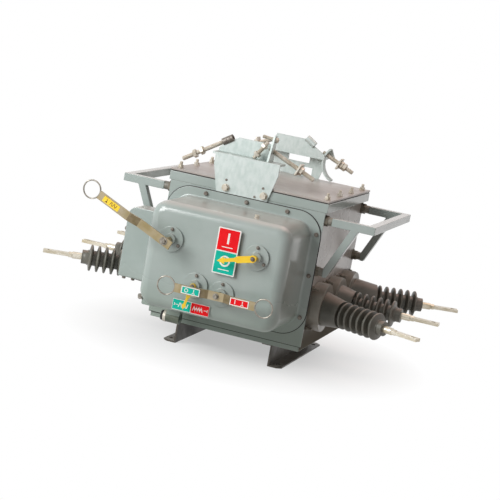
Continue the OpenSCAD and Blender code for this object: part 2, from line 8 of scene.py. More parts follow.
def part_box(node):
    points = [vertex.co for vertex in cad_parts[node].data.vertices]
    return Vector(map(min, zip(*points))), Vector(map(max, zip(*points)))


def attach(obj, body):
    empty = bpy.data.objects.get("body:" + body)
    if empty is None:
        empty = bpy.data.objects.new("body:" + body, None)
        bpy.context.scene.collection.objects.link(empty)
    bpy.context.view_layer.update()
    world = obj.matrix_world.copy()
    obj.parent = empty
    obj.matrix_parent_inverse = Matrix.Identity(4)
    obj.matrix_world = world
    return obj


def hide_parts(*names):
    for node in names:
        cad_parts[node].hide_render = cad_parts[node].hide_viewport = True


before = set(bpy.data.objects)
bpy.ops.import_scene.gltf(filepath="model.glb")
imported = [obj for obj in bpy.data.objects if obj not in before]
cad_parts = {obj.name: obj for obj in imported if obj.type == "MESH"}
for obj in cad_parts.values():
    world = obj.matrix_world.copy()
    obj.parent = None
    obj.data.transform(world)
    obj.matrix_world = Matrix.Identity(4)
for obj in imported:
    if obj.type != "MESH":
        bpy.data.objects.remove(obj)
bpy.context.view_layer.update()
scene = bpy.context.scene
MM = 0.001


# Finishes

# Where the lumps of a finish turn from its dark colour to its light one, on the noise's own scale
LUMP_FROM, LUMP_TO = 0.35, 0.65
# How far up a face has to look to begin taking its top colour, and to take it fully, as the height of its normal
TOP_FROM, TOP_FULL = 0.6, 0.95
# Height in millimetres below which the painted shade is darkest, and the roughness where it lies
SHADE_FOOT, SHADE_ROUGH = 90, 0.95


def srgb(code):
    """A colour written as it looks on a screen, as the linear values of a shader."""
    channels = [int(code[i:i + 2], 16) / 255 for i in (0, 2, 4)]
    return (*(c / 12.92 if c <= 0.04045 else ((c + 0.055) / 1.055) ** 2.4 for c in channels), 1.0)


def add_node(tree, kind, inputs=(), **settings):
    """Adds a shader node with its settings; an input is a constant or the socket that feeds it."""
    made = tree.nodes.new(kind)
    for name, value in settings.items():
        setattr(made, name, value)
    for name, value in dict(inputs).items():
        if isinstance(value, bpy.types.NodeSocket):
            tree.links.new(value, made.inputs[name])
        else:
            made.inputs[name].default_value = value
    return made


def finish(name, dark, light, lump, smooth, rough, metallic=0.0, coat=0.0, stretch=(1, 1, 1),
           dent=0.0, dent_size=1, specular=0.5, dust_and_top_shading=None, painted_shade=None):
    """A surface that drifts between two colours and two roughnesses in lumps of a size in millimetres.

    stretch is how many times as long the lumps are along each axis.
    dent is how deep in millimetres its surface is uneven, over dent_size millimetres.
    The top colour is taken by the faces that look up; on the rubber it is partly painted light from above, on the
    galvanised plate painted shade.
    The painted shade is a darker colour towards the bottom, its share at the foot and its top in millimetres.
    """
    made = bpy.data.materials.new(name)
    made.use_nodes = True
    tree = made.node_tree
    surface = tree.nodes["Principled BSDF"]
    surface.inputs["Metallic"].default_value = metallic
    surface.inputs["Specular IOR Level"].default_value = specular
    surface.inputs["Coat Weight"].default_value = coat
    surface.inputs["Coat Roughness"].default_value = smooth
    coordinates = add_node(tree, "ShaderNodeTexCoord").outputs
    place = coordinates["Object"]
    fit = add_node(tree, "ShaderNodeMapping",
                   {"Vector": place, "Scale": [1 / (s * lump * MM) for s in stretch]}).outputs["Vector"]
    clouds = add_node(tree, "ShaderNodeTexNoise", {"Vector": fit, "Scale": 1.0, "Detail": 4.0}).outputs["Fac"]
    drift = add_node(tree, "ShaderNodeMapRange",
                     {"Value": clouds, "From Min": LUMP_FROM, "From Max": LUMP_TO}).outputs["Result"]
    tint = add_node(tree, "ShaderNodeMix", {0: drift, 6: srgb(dark), 7: srgb(light)},
                    data_type="RGBA").outputs[2]
    gloss = add_node(tree, "ShaderNodeMapRange",
                     {"Value": drift, "To Min": rough, "To Max": smooth}).outputs["Result"]
    # Top colour on the faces that look up: painted top light on the rubber, painted top shade on the galvanised
    # plate
    if dust_and_top_shading:
        upward = add_node(tree, "ShaderNodeSeparateXYZ", {"Vector": coordinates["Normal"]}).outputs["Z"]
        looking_up = add_node(tree, "ShaderNodeMapRange",
                         {"Value": upward, "From Min": TOP_FROM, "From Max": TOP_FULL}).outputs["Result"]
        tint = add_node(tree, "ShaderNodeMix", {0: looking_up, 6: tint, 7: srgb(dust_and_top_shading)}, data_type="RGBA").outputs[2]
    # Painted shade: the faces grow darker and rougher towards the bottom
    if painted_shade:
        shade_colour, share, reach = painted_shade
        height = add_node(tree, "ShaderNodeSeparateXYZ", {"Vector": place}).outputs["Z"]
        shaded = add_node(tree, "ShaderNodeMapRange",
                          {"Value": height, "From Min": SHADE_FOOT * MM, "From Max": reach * MM,
                           "To Min": share, "To Max": 0.0}, interpolation_type="SMOOTHSTEP").outputs["Result"]
        tint = add_node(tree, "ShaderNodeMix", {0: shaded, 6: tint, 7: srgb(shade_colour)},
                        data_type="RGBA").outputs[2]
        gloss = add_node(tree, "ShaderNodeMix", {0: shaded, 2: gloss, 3: SHADE_ROUGH}).outputs[0]
    tree.links.new(tint, surface.inputs["Base Color"])
    tree.links.new(gloss, surface.inputs["Roughness"])
    if dent:
        waves = add_node(tree, "ShaderNodeTexNoise",
                         {"Vector": place, "Scale": 1 / (dent_size * MM), "Detail": 1.0}).outputs["Fac"]
        uneven = add_node(tree, "ShaderNodeBump", {"Height": waves, "Distance": dent * MM}).outputs["Normal"]
        tree.links.new(uneven, surface.inputs["Normal"])
    return made


# Grey-green enamel on sheet steel: glossy and a little cloudy, over sheet that is never quite flat,
# paler on the faces that look up, and darker green towards the bottom as painted shade
enamel = finish("grey-green enamel", "9AA7A2", "A7B2AE", 150, 0.16, 0.26, coat=0.25, dent=0.4, dent_size=90,
                dust_and_top_shading="BCBCB6", painted_shade=("6B7A66", 0.5, 270))
# The same enamel on the lid, tinted rosy as a painted reflection of pink surroundings
reflecting_lid_enamel = finish("lid enamel with painted reflection", "A69F99", "B2AAA3", 120, 0.28, 0.4, coat=0.1, dent=0.4, dent_size=120)
# The same enamel on the tank's side walls, painted paler and greyer as light falling on them, with brown painted
# shade towards the bottom
lit_wall_enamel = finish("side wall enamel with painted light and shade", "ABABA7", "B5B4AF", 150, 0.2, 0.3, dent=0.4, dent_size=90,
                       painted_shade=("5C584C", 1.0, 230))
# The same enamel on the bushing collars and the frames' bosses, painted darker and browner as shade
shaded_enamel = finish("enamel with painted shade", "77746A", "8A867B", 40, 0.3, 0.45, coat=0.1, dent=0.2, dent_size=60)
# Olive enamel on the control socket
olive_enamel = finish("olive enamel", "565E50", "6E7666", 25, 0.3, 0.45)
# Black enamel on the feet, paler brown on the faces that look up
foot_enamel = finish("black enamel", "3F3B34", "59534A", 60, 0.36, 0.55, dent=0.1, dent_size=5, dust_and_top_shading="827D76")
# Hot-dip galvanised plate: pale, streaked downwards where the zinc ran, dull and bright by turns, its faces on top
# painted greyer as shade
galvanised = finish("hot-dip galvanised steel", "BAC6C2", "CCD5D2", 12, 0.38, 0.52, metallic=0.3,
                    stretch=(1, 1, 2), dent=0.06, dent_size=9, dust_and_top_shading="AAB5B1")
# Yellow-passivated zinc on the levers: warm silver that drifts between straw and pale pink
yellow_zinc = finish("yellow zinc plated steel", "95865F", "B1A48A", 45, 0.3, 0.42, metallic=0.6)
# The same zinc on the ring ends, darker and greyer where the weld burnt it
burnt_zinc = finish("burnt zinc plated steel", "77726A", "A7A297", 12, 0.3, 0.45, metallic=0.6)
# And olive brown where the bars are bent, as painted shade
bend_shade_zinc = finish("zinc plated steel with painted shade at bends", "6B5E41", "877960", 20, 0.34, 0.48, metallic=0.6)
# Bright zinc on rods and nuts: paler, with worn yellow patches
bright_zinc = finish("bright zinc plated steel", "B9B1A0", "D6D1C6", 22, 0.36, 0.55, metallic=0.4)
# Small bolts and a sleeve that were painted over and have gone brown
browned = finish("browned steel", "5E554E", "8A847B", 8, 0.4, 0.6, metallic=0.3)
# Nuts of tarnished brass
brass = finish("tarnished brass", "5F5A4E", "7D766A", 10, 0.4, 0.55, metallic=0.3)
# Silicone rubber: dark warm grey and matt, lighter brown on top as dust with painted light from above
rubber = finish("silicone rubber", "53534B", "6C6A61", 70, 0.36, 0.5, dust_and_top_shading="85796D")
# Tinned copper terminals: soft warm silver with drawn-out scuffs
tin = finish("tinned copper", "BDB297", "E2DCCD", 12, 0.26, 0.4, metallic=0.6, stretch=(8, 1, 1))
# Black gasket rubber under the lid and round the cover; the same black paints shadow lines round the cover's
# flange and below the front plate
gasket_rubber = finish("black gasket rubber and painted shadow lines", "161615", "242322", 30, 0.6, 0.75)
# Aluminium sign plates and labels printed in flat colours, slightly chalky
white_print = finish("white print", "E6E6E2", "F2F2EE", 30, 0.35, 0.5)
red_print = finish("red print", "E4000E", "F00A17", 30, 0.45, 0.55, specular=0.2)
green_print = finish("green print", "00AE98", "00BCA4", 30, 0.45, 0.55, specular=0.2)
yellow_print = finish("yellow print", "EFCB1B", "F8D93A", 12, 0.35, 0.5)
brown_print = finish("brown print", "7A5A1E", "8F6C2A", 12, 0.4, 0.5)
# Yellow enamel of the pointers
yellow_enamel = finish("yellow enamel", "F2C417", "F9D321", 20, 0.28, 0.4, coat=0.2)


# Mesh helpers

# Angles in degrees: edges that shade sharp, edges that get rounded, faces that count as one flat face
SHARP_FROM, ROUND_FROM, FLAT_WITHIN = 32, 40, 0.5
# Chamfer at the ends of a thread in millimetres, and how deep its grooves are as a share of its pitch
THREAD_END, THREAD_DEPTH = 1.5, 0.4


def box_mm(node):
    """Lowest and highest corner of a CAD node in millimetres."""
    low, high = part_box(node)
    return low / MM, high / MM


def piece(name, bm, *finishes, body="housing", slot=None, replaces=()):
    """Makes an object of a mesh in the shared frame and lets it ride on a body."""
    mesh = bpy.data.meshes.new(name)
    bm.to_mesh(mesh)
    bm.free()
    for each in finishes:
        mesh.materials.append(each)
    mesh.shade_smooth()
    mesh.set_sharp_from_angle(angle=math.radians(SHARP_FROM))
    made = bpy.data.objects.new(name, mesh)
    scene.collection.objects.link(made)
    made.modifiers.new("even shading", "WEIGHTED_NORMAL").keep_sharp = True
    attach(made, body)
    if replaces:
        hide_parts(*replaces)
    return made


def round_edges(bm, edges, radius, segments=2):
    """Rounds edges by a radius in millimetres."""
    bmesh.ops.bevel(bm, geom=edges, offset=radius * MM, offset_type="OFFSET", segments=segments, profile=0.5,
                    affect="EDGES", material=-1, clamp_overlap=True)


def dress(node, radius, coating, slot, body="housing", above=0):
    """Stands for a CAD node with a copy whose sharp edges are rounded, cut off below a height if one is given."""
    bm = bmesh.new()
    bm.from_mesh(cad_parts[node].data)
    bmesh.ops.remove_doubles(bm, verts=bm.verts, dist=MM / 100)
    bmesh.ops.dissolve_limit(bm, angle_limit=math.radians(FLAT_WITHIN), verts=bm.verts, edges=bm.edges)
    if above:
        cut = bmesh.ops.bisect_plane(bm, geom=bm.verts[:] + bm.edges[:] + bm.faces[:], clear_inner=True,
                                     plane_co=(0, 0, above * MM), plane_no=(0, 0, 1))["geom_cut"]
        bmesh.ops.edgeloop_fill(bm, edges=[g for g in cut if isinstance(g, bmesh.types.BMEdge)])
        bmesh.ops.recalc_face_normals(bm, faces=bm.faces)
    if radius:
        least = math.radians(ROUND_FROM)
        round_edges(bm, [e for e in bm.edges if len(e.link_faces) == 2 and e.calc_face_angle() > least], radius)
    return piece(node + "_dressed", bm, coating, body=body, slot=slot, replaces=[node])


def recoat(made, centre, reach, coating):
    """Gives the faces of a piece that lie within reach of a point in millimetres another finish."""
    if coating.name not in made.data.materials:
        made.data.materials.append(coating)
    for face in made.data.polygons:
        if (face.center - Vector(centre) * MM).length < reach * MM:
            face.material_index = made.data.materials.find(coating.name)


def at(point, direction=(0, -1, 0), turn=0):
    """Place in millimetres whose +Z points in a direction, turned about it by degrees."""
    facing = Vector(direction).to_track_quat("Z", "Y").to_matrix().to_4x4()
    return Matrix.Translation(Vector(point) * MM) @ facing @ Matrix.Rotation(math.radians(turn), 4, "Z")


def loose_mesh(bm):
    """Keeps a bmesh as a mesh that can be stamped at many places."""
    mesh = bpy.data.meshes.new("loose")
    bm.to_mesh(mesh)
    bm.free()
    return mesh


def stamp(bm, mesh, place, index=0):
    """Adds a copy of a loose mesh at a place."""
    first_vert, first_face = len(bm.verts), len(bm.faces)
    bm.from_mesh(mesh)
    bm.verts.ensure_lookup_table()
    bm.faces.ensure_lookup_table()
    bmesh.ops.transform(bm, matrix=place, verts=bm.verts[first_vert:])
    for face in bm.faces[first_face:]:
        face.material_index = index


def joined(*meshes):
    """One loose mesh of several, each where it stands."""
    bm = bmesh.new()
    for mesh in meshes:
        bm.from_mesh(mesh)
    return loose_mesh(bm)


def stamps(name, mesh, places, coating, **riding):
    """One piece of many copies of a loose mesh."""
    bm = bmesh.new()
    for place in places:
        stamp(bm, mesh, place)
    return piece(name, bm, coating, **riding)


def turned(profile, steps=24):
    """A solid turned about Z from a profile of radius and height in millimetres."""
    bm = bmesh.new()
    points = [bm.verts.new((r * MM, 0, z * MM)) for r, z in profile]
    lines = [bm.edges.new(pair) for pair in zip(points, points[1:])]
    bmesh.ops.spin(bm, geom=points + lines, cent=(0, 0, 0), axis=(0, 0, 1), angle=2 * math.pi, steps=steps,
                   use_merge=True)
    bmesh.ops.remove_doubles(bm, verts=bm.verts, dist=MM / 1000)
    bmesh.ops.recalc_face_normals(bm, faces=bm.faces)
    return loose_mesh(bm)


def disc(radius, low, high, edge=0.4, steps=28):
    """A washer or short round bar with rounded rims."""
    return turned([(0, low), (radius - edge, low), (radius, low + edge), (radius, high - edge),
                   (radius - edge, high), (0, high)], steps)


def hexagon(across, low, high, edge=0.9):
    """A hexagon head or nut with its rims chamfered."""
    bm = bmesh.new()
    corner = across * MM / math.sqrt(3)
    bmesh.ops.create_cone(bm, cap_ends=True, segments=6, radius1=corner, radius2=corner, depth=(high - low) * MM,
                          matrix=Matrix.Translation((0, 0, (low + high) / 2 * MM)))
    round_edges(bm, [e for e in bm.edges if abs(e.verts[0].co.z - e.verts[1].co.z) < MM / 10], edge)
    return loose_mesh(bm)


def thread(radius, low, high, pitch):
    """A threaded bar: its ridges are rings, which look the same as a helix at this size."""
    ridges = [(radius - THREAD_END, low), (radius, low + THREAD_END)]
    for i in range(int((high - low - 2 * THREAD_END) / pitch)):
        z = low + THREAD_END + i * pitch
        ridges += [(radius - pitch * THREAD_DEPTH, z + pitch / 2), (radius, z + pitch)]
    return turned([(0, low), *ridges, (radius - THREAD_END, high), (0, high)], 20)


def plate(width, height, thick, corner=0.0, edge=0.3, lift=0.0):
    """A flat plate in the XY plane, its back at z = lift, with round corners."""
    bm = bmesh.new()
    size = Matrix.Diagonal((width * MM, height * MM, thick * MM, 1))
    bmesh.ops.create_cube(bm, size=1, matrix=Matrix.Translation((0, 0, (lift + thick / 2) * MM)) @ size)
    if corner:
        upright = [e for e in bm.edges if abs(e.verts[0].co.z - e.verts[1].co.z) > thick * MM / 2]
        round_edges(bm, upright, corner, 5)
    front = max(v.co.z for v in bm.verts) - MM / 100
    rim = [e for e in bm.edges if min(v.co.z for v in e.verts) > front and e.calc_face_angle() > 1]
    round_edges(bm, rim, edge, 1)
    return loose_mesh(bm)


def ring(radius, width, thick, lift=0.0):
    """A flat ring in the XY plane."""
    inner, outer = radius - width / 2, radius + width / 2
    return turned([(inner, lift), (outer, lift), (outer, lift + thick), (inner, lift + thick), (inner, lift)], 36)


def bolt(across, head, washer, washer_t=2.0):
    """Hexagon bolt on a washer, its seat at z = 0."""
    return joined(disc(washer, 0, washer_t), hexagon(across, washer_t, washer_t + head))


def stud(across, nut, washer, radius, reach, washer_t=2.0):
    """Nut on a washer with the threaded end of its stud showing."""
    return joined(disc(washer, 0, washer_t), hexagon(across, washer_t, washer_t + nut),
                  thread(radius, washer_t + nut / 2, reach, 1.5))


# CAD pieces with their finish, and the rounding of their edges in millimetres

SIDES = (("left", -1), ("right", 1))
ROWS = ("front", "middle", "rear")
# How far the terminal box's lip hangs down, and the height at which the front plate ends
BOX_LIP, PLATE_FOOT = 8, 87
# Middle of a side wall of the tank, and a reach that takes in nothing but the wall
WALL_X, WALL_MID, WALL_REACH = 246, 290, 100
# Middle and reach of the front bracket's sleeve
SLEEVE_SPOT, SLEEVE_REACH = (-106, -212, 657), 24
for node, radius in (("left_frame", 2), ("right_frame", 2), ("handle_bearing", 1),
                     ("position_bearing", 1), ("charge_bearing", 1), ("lever_bearing", 1)):
    dress(node, radius, enamel, "tank_paint")
made = dress("terminal_box", 4, enamel, "tank_paint")
box_low, box_high = box_mm("terminal_box")
box_low.z -= BOX_LIP
for vert in made.data.vertices:
    if vert.co.z < (box_low.z + 2 * BOX_LIP) * MM:
        vert.co.z -= BOX_LIP * MM
made = dress("tank", 2, enamel, "tank_paint")
# Both side walls take the paler enamel: painted light, with painted shade towards the bottom
for side, sign in SIDES:
    recoat(made, (sign * WALL_X, 0, WALL_MID), WALL_REACH, lit_wall_enamel)
dress("control_socket", 1.2, enamel, "tank_paint")
dress("front_plate", 1, enamel, "tank_paint", above=PLATE_FOOT)
dress("tank_lid", 1.2, reflecting_lid_enamel, "tank_paint")
for side, sign in SIDES:
    dress(side + "_foot", 1.2, foot_enamel, "foot_paint")
    # Collars and frame bosses take the enamel painted darker as shade
    dress(side + "_collars", 2, shaded_enamel, "tank_paint")
    dress(side + "_frame_bosses", 1, shaded_enamel, "zinc_steel")
    for row in ROWS:
        dress(f"{side}_{row}_insulator", 0, rubber, "insulator_rubber")
        dress(f"{side}_{row}_terminal", 0.8, tin, "tinned_copper")
dress("rear_bracket", 1.2, galvanised, "galvanised_steel")
made = dress("front_bracket", 1.2, galvanised, "galvanised_steel")
recoat(made, SLEEVE_SPOT, SLEEVE_REACH, browned)
for node in ("position_pointer", "charge_pointer"):
    dress(node, 0.3, yellow_enamel, "pointer_paint", body=node)
dress("lid_gasket", 0, gasket_rubber, "gasket_rubber")

# Levers, whose rings are welded on
PIVOTS = {}
for name in ("handle", "position", "charge", "lever"):
    low, high = box_mm(name + "_bearing")
    PIVOTS[name] = (low + high) / 2
HANDLE_ANGLE = 156.6
handle_way = Vector((math.cos(math.radians(HANDLE_ANGLE)), 0, math.sin(math.radians(HANDLE_ANGLE))))
# How far the burnt zinc and the painted shade at the bends reach, and how deep behind a lever's front its bends
# lie
RING_REACH, BEND_REACH, BEND_BACK = 32, 18, 10
# A ring's middle line, its wire in the solid, what counts as wire, and the share of the wire that is left
RING_R, WIRE_R, WIRE_WITHIN, WIRE_SHARE = 27, 3.5, 1.1, 0.65


def slim_ring(made, middle):
    """Thins the wire of a ring about its middle line, because the solid's wire is thicker than the real one."""
    for vert in made.data.vertices:
        out = vert.co / MM - middle
        line = Vector((out.x, 0, out.z)).normalized() * RING_R
        if (out - line).length < WIRE_R * WIRE_WITHIN:
            vert.co = (middle + line + (out - line) * WIRE_SHARE) * MM


# Node, pivot, ways its arms point, from the pivot to the middle of a bend and to the middle of a ring
for node, pivot, ways, bend, end in (
        ("charging_handle", PIVOTS["handle"], (handle_way,), 109, 264),
        ("close_trip_lever", PIVOTS["lever"], (Vector((-1, 0, 0)), Vector((1, 0, 0))), 41, 152)):
    made = dress(node, 0.8, yellow_zinc, "zinc_steel", body=node)
    front = box_mm(node)[0].y
    for way in ways:
        middle = pivot + way * end
        middle.y = front + WIRE_R
        recoat(made, middle, RING_REACH, burnt_zinc)
        slim_ring(made, middle)
        # Painted shade on the bar where it bends
        crook = pivot + way * bend
        crook.y = front + BEND_BACK
        recoat(made, crook, BEND_REACH, bend_shade_zinc)


# Mechanism cover: one drawn sheet with a flat flange, rolled at the face and at the foot of its wall

cover_low, cover_high = box_mm("mechanism_cover")
cover_mid = (cover_low + cover_high) / 2
FACE_Y = cover_low.y
PLATE_Y = cover_high.y
# Flange: thickness, corner and width; rolls round the face, at the wall's foot and on the flange's rim
FLANGE_T, FLANGE_R, FLANGE_RIM = 4, 78, 30
FACE_R, FOOT_R, RIM_R = 34, 7, 1.2
FLANGE_Y = PLATE_Y - FLANGE_T


def cover_outline(bm, margin, y):
    """Adds the flange's outline as a face at a depth, grown by a margin; its corners are arcs."""
    size = cover_high - cover_low
    place = at((cover_mid.x, y, cover_mid.z))
    spread = Matrix.Diagonal(((size.x + 2 * margin) * MM, (size.z + 2 * margin) * MM, 1, 1))
    bmesh.ops.create_grid(bm, x_segments=1, y_segments=1, size=0.5, matrix=place @ spread)
    bmesh.ops.bevel(bm, geom=bm.verts[:], offset=(FLANGE_R + margin) * MM, offset_type="OFFSET", segments=20,
                    profile=0.5, affect="VERTICES", material=-1)
    return bm.faces[:][0]


def drawn_out(bm, face, depth):
    """Draws a face forwards and returns it in its new place."""
    grown = bmesh.ops.extrude_face_region(bm, geom=[face])["geom"]
    moved = [g for g in grown if isinstance(g, bmesh.types.BMVert)]
    bmesh.ops.translate(bm, vec=(0, -depth * MM, 0), verts=moved)
    return next(g for g in grown if isinstance(g, bmesh.types.BMFace))


bm = bmesh.new()
flange = drawn_out(bm, cover_outline(bm, 0, PLATE_Y), FLANGE_T)
outer_rim = list(flange.edges)
bmesh.ops.inset_region(bm, faces=[flange], thickness=FLANGE_RIM * MM, use_even_offset=True)
foot = list(flange.edges)
face = drawn_out(bm, flange, FLANGE_Y - FACE_Y)
bmesh.ops.delete(bm, geom=[flange], context="FACES_ONLY")
round_edges(bm, list(face.edges), FACE_R, 14)
round_edges(bm, [e for e in foot if e.is_valid], FOOT_R, 5)
round_edges(bm, [e for e in outer_rim if e.is_valid], RIM_R)
bmesh.ops.recalc_face_normals(bm, faces=bm.faces)
piece("mechanism_cover_drawn", bm, enamel, slot="tank_paint", replaces=["mechanism_cover"])

# Gasket round the flange, standing out as a painted shadow line: how far it stands out, and its thickness
GASKET_MARGIN, GASKET_SHOWN = 2.2, 2.2
bm = bmesh.new()
drawn_out(bm, cover_outline(bm, GASKET_MARGIN, PLATE_Y), GASKET_SHOWN)
bmesh.ops.recalc_face_normals(bm, faces=bm.faces)
piece("cover_gasket_shadow_line", bm, gasket_rubber, slot="gasket_rubber")

# Black strip under the foot of the front plate: a painted shadow line
SHADOW_LINE_H, SHADOW_LINE_BACK = 1.6, 0.6
plate_low, plate_high = box_mm("front_plate")
plate_size = plate_high - plate_low
shadow_line = plate(plate_size.x - 2 * SHADOW_LINE_BACK, SHADOW_LINE_H, plate_size.y - SHADOW_LINE_BACK, 0, 0.2)
shadow_line_spot = ((plate_low.x + plate_high.x) / 2, plate_high.y, PLATE_FOOT - SHADOW_LINE_H / 2)
stamps("plate_foot_shadow_line", shadow_line, [at(shadow_line_spot)], gasket_rubber, slot="gasket_rubber")


# Fasteners and fittings of the cover, the lid and the brackets

FLANGE_BOLTS = [(x, z) for z in (487, 129) for x in (-130, 3, 135)]
FLANGE_BOLTS += [(sign * x, z) for name, sign in SIDES for x, z in ((237, 437), (237, 309), (234, 178))]
stamps("flange_bolts", bolt(11, 5, 7), [at((x, FLANGE_Y, z), turn=x) for x, z in FLANGE_BOLTS], browned)

BEARING_BOLT_R, BEARING_T = 30, 6
places = []
for pivot in PIVOTS.values():
    for angle in (90, 210, 330):
        spoke = Vector((math.cos(math.radians(angle)), 0, math.sin(math.radians(angle)))) * BEARING_BOLT_R
        spot = pivot + spoke
        places.append(at((spot.x, FACE_Y - BEARING_T, spot.z), turn=angle))
stamps("bearing_bolts", bolt(8, 4.5, 5.5, 1.2), places, browned)

LID_Z = box_mm("tank_lid")[1].z
LID_STUD_X, LID_STUD_Y = 240, (-218, -73, 73, 218)
places = [at((sign * LID_STUD_X, y, LID_Z), (0, 0, 1), y) for name, sign in SIDES for y in LID_STUD_Y]
stamps("lid_studs", stud(15, 8, 10.5, 5, 20), places, bright_zinc, slot="zinc_steel")

bracket_front = box_mm("front_bracket")[0].y
bracket_back = box_mm("rear_bracket")[1].y
BRACKET_BOLTS = ((-71, 518), (53, 517))
places = [at((x, bracket_front, z), turn=x) for x, z in BRACKET_BOLTS]
places += [at((x, bracket_back, z), (0, 1, 0), x) for x, z in BRACKET_BOLTS]
stamps("bracket_bolts", bolt(18, 8, 12, 2.5), places, bright_zinc, slot="zinc_steel")
BRACKET_SCREWS = ((-73, 542), (47, 540), (25, 509))
places = [at((x, bracket_front, z), turn=z) for x, z in BRACKET_SCREWS]
stamps("bracket_screws", hexagon(7, 0, 2.5), places, browned)

TOP_BOLT = (88, -408, cover_high.z - FLANGE_RIM)
stamps("cover_top_bolt", bolt(12, 8, 8), [at(TOP_BOLT, (0, 0, 1))], bright_zinc, slot="zinc_steel")

# Two bolts under the terminal box and one on its side, from the box's corners
UNDER_X, UNDER_Y, SIDE_Y, SIDE_DROP = (16, 46), 14, 20, 74
places = [at((box_low.x + x, box_low.y + UNDER_Y, box_low.z), (0, 0, -1)) for x in UNDER_X]
places.append(at((box_low.x, box_low.y + SIDE_Y, box_high.z - SIDE_DROP), (-1, 0, 0)))
stamps("terminal_box_bolts", bolt(10, 6, 7), places, browned)

# Control socket: an olive shell that ends in a bright collar and a dark mouth
socket_low, socket_high = box_mm("control_socket")
SOCKET_R, SHELL_R, SHELL_LEN = 15, 17.5, 18
COLLAR = [(0, 0), (17.5, 0), (18.5, 1), (18.5, 9), (16, 10), (0, 10)]
MOUTH = [(0, 9), (16, 9), (16, 16.5), (15, 17.5), (12.5, 17.5), (12, 13), (0, 13)]
socket_mid = (socket_low + socket_high) / 2
socket_place = at((socket_low.x + SHELL_LEN, socket_mid.y, socket_low.z + SOCKET_R), (-1, 0, 0))
socket_len = socket_high.x - socket_low.x
bm = bmesh.new()
stamp(bm, disc(SHELL_R, SHELL_LEN - socket_len, 1), socket_place, 2)
stamp(bm, turned(COLLAR), socket_place)
stamp(bm, turned(MOUTH), socket_place, 1)
piece("socket_shell", bm, bright_zinc, gasket_rubber, olive_enamel)

# Earth bolt on a lug at the lower left corner of the cover
EARTH_LUG, EARTH_BOLT, EARTH_WAY = (-189, -438, 168), (-210, -441, 166), (-1, 0, -0.2)
stamps("earth_lug", plate(44, 50, 6, 5, 1), [at(EARTH_LUG)], enamel, slot="tank_paint")
stamps("earth_bolt", bolt(15, 11, 9, 3), [at(EARTH_BOLT, EARTH_WAY)], burnt_zinc)


# Bushing studs on the side walls and nuts at the feet of the frames

# How far the studs stand from a collar's middle each way, and the radius of a frame's boss
STUD_OUT, BOSS_R = 62, 13
stud_places = []
nut_places = []
for side, sign in SIDES:
    low, high = box_mm(side + "_collars")
    collar_r = (high.z - low.z) / 2
    wall = low.x if sign > 0 else high.x
    for y in (low.y + collar_r, (low.y + high.y) / 2, high.y - collar_r):
        for dy in (-STUD_OUT, STUD_OUT):
            for dz in (-STUD_OUT, STUD_OUT):
                stud_places.append(at((wall, y + dy, low.z + collar_r + dz), (sign, 0, 0), dy + dz))
    low, high = box_mm(side + "_frame_bosses")
    for y in (low.y + BOSS_R, high.y - BOSS_R):
        for z in (low.z + BOSS_R, high.z - BOSS_R):
            nut_places.append(at((wall, y, z), (sign, 0, 0), z))
stamps("bushing_studs", stud(13, 8, 9, 5, 24), stud_places, brass)
stamps("frame_nuts", joined(disc(18, 0, 3), hexagon(29, 3, 15)), nut_places, brass)

# Tinned sleeves round the feet of the terminals: pitch of the bushings, fan of the outer ones in degrees,
# from the wall to a sleeve, and what the fan adds to that
BUSHING_PITCH, BUSHING_FAN, CAP_END, FAN_EXTRA = 165, 22, 244.4, 28
CAP_R, CAP_BACK, CAP_FRONT, CAP_EDGE = 11, -1, 30, 1.2
places = []
for side, sign in SIDES:
    low, high = box_mm(side + "_middle_terminal")
    for row in (-1, 0, 1):
        fan = math.radians(row * BUSHING_FAN)
        way = Vector((sign * math.cos(fan), math.sin(fan), 0))
        root = Vector((sign * WALL_X, row * BUSHING_PITCH, (low.z + high.z) / 2))
        places.append(at(root + way * (CAP_END + abs(row) * FAN_EXTRA), way))
stamps("terminal_sleeves", disc(CAP_R, CAP_BACK, CAP_FRONT, CAP_EDGE), places, tin, slot="tinned_copper")


# Hook bolts: threaded rods with nuts on square washers

HOOK_R, HOOK_PITCH, NUT_T, WASHER_T = 7, 2.5, 11, 5
hook_nut = hexagon(23, 0, NUT_T)
square_washer = plate(38, 38, WASHER_T, 2)
# Node, side it points to, downward slope in degrees, places of its nuts from its outer end, washer
HOOK_BOLTS = (("front_left_hook_bolt", -1, 32.5, (75, 50), False),
              ("front_right_hook_bolt", 1, 23, (53,), True),
              ("rear_left_hook_bolt", -1, 23, (40,), True),
              ("rear_right_hook_bolt", 1, 23, (50, 38), True))
for node, sign, slope, nuts, washered in HOOK_BOLTS:
    low, high = box_mm(node)
    tilt = math.radians(slope)
    way = Vector((sign * math.cos(tilt), 0, -math.sin(tilt)))
    length = (high.x - low.x - 2 * HOOK_R * math.sin(tilt)) / math.cos(tilt)
    tip = (low + high) / 2 + way * length / 2
    bm = bmesh.new()
    stamp(bm, thread(HOOK_R, -length, 0, HOOK_PITCH), at(tip, way))
    for back in nuts:
        stamp(bm, hook_nut, at(tip - way * back, way, back))
    if washered:
        stamp(bm, square_washer, at(tip - way * (nuts[0] + WASHER_T), way))
    piece(node + "_threaded", bm, bright_zinc, slot="zinc_steel", replaces=[node])

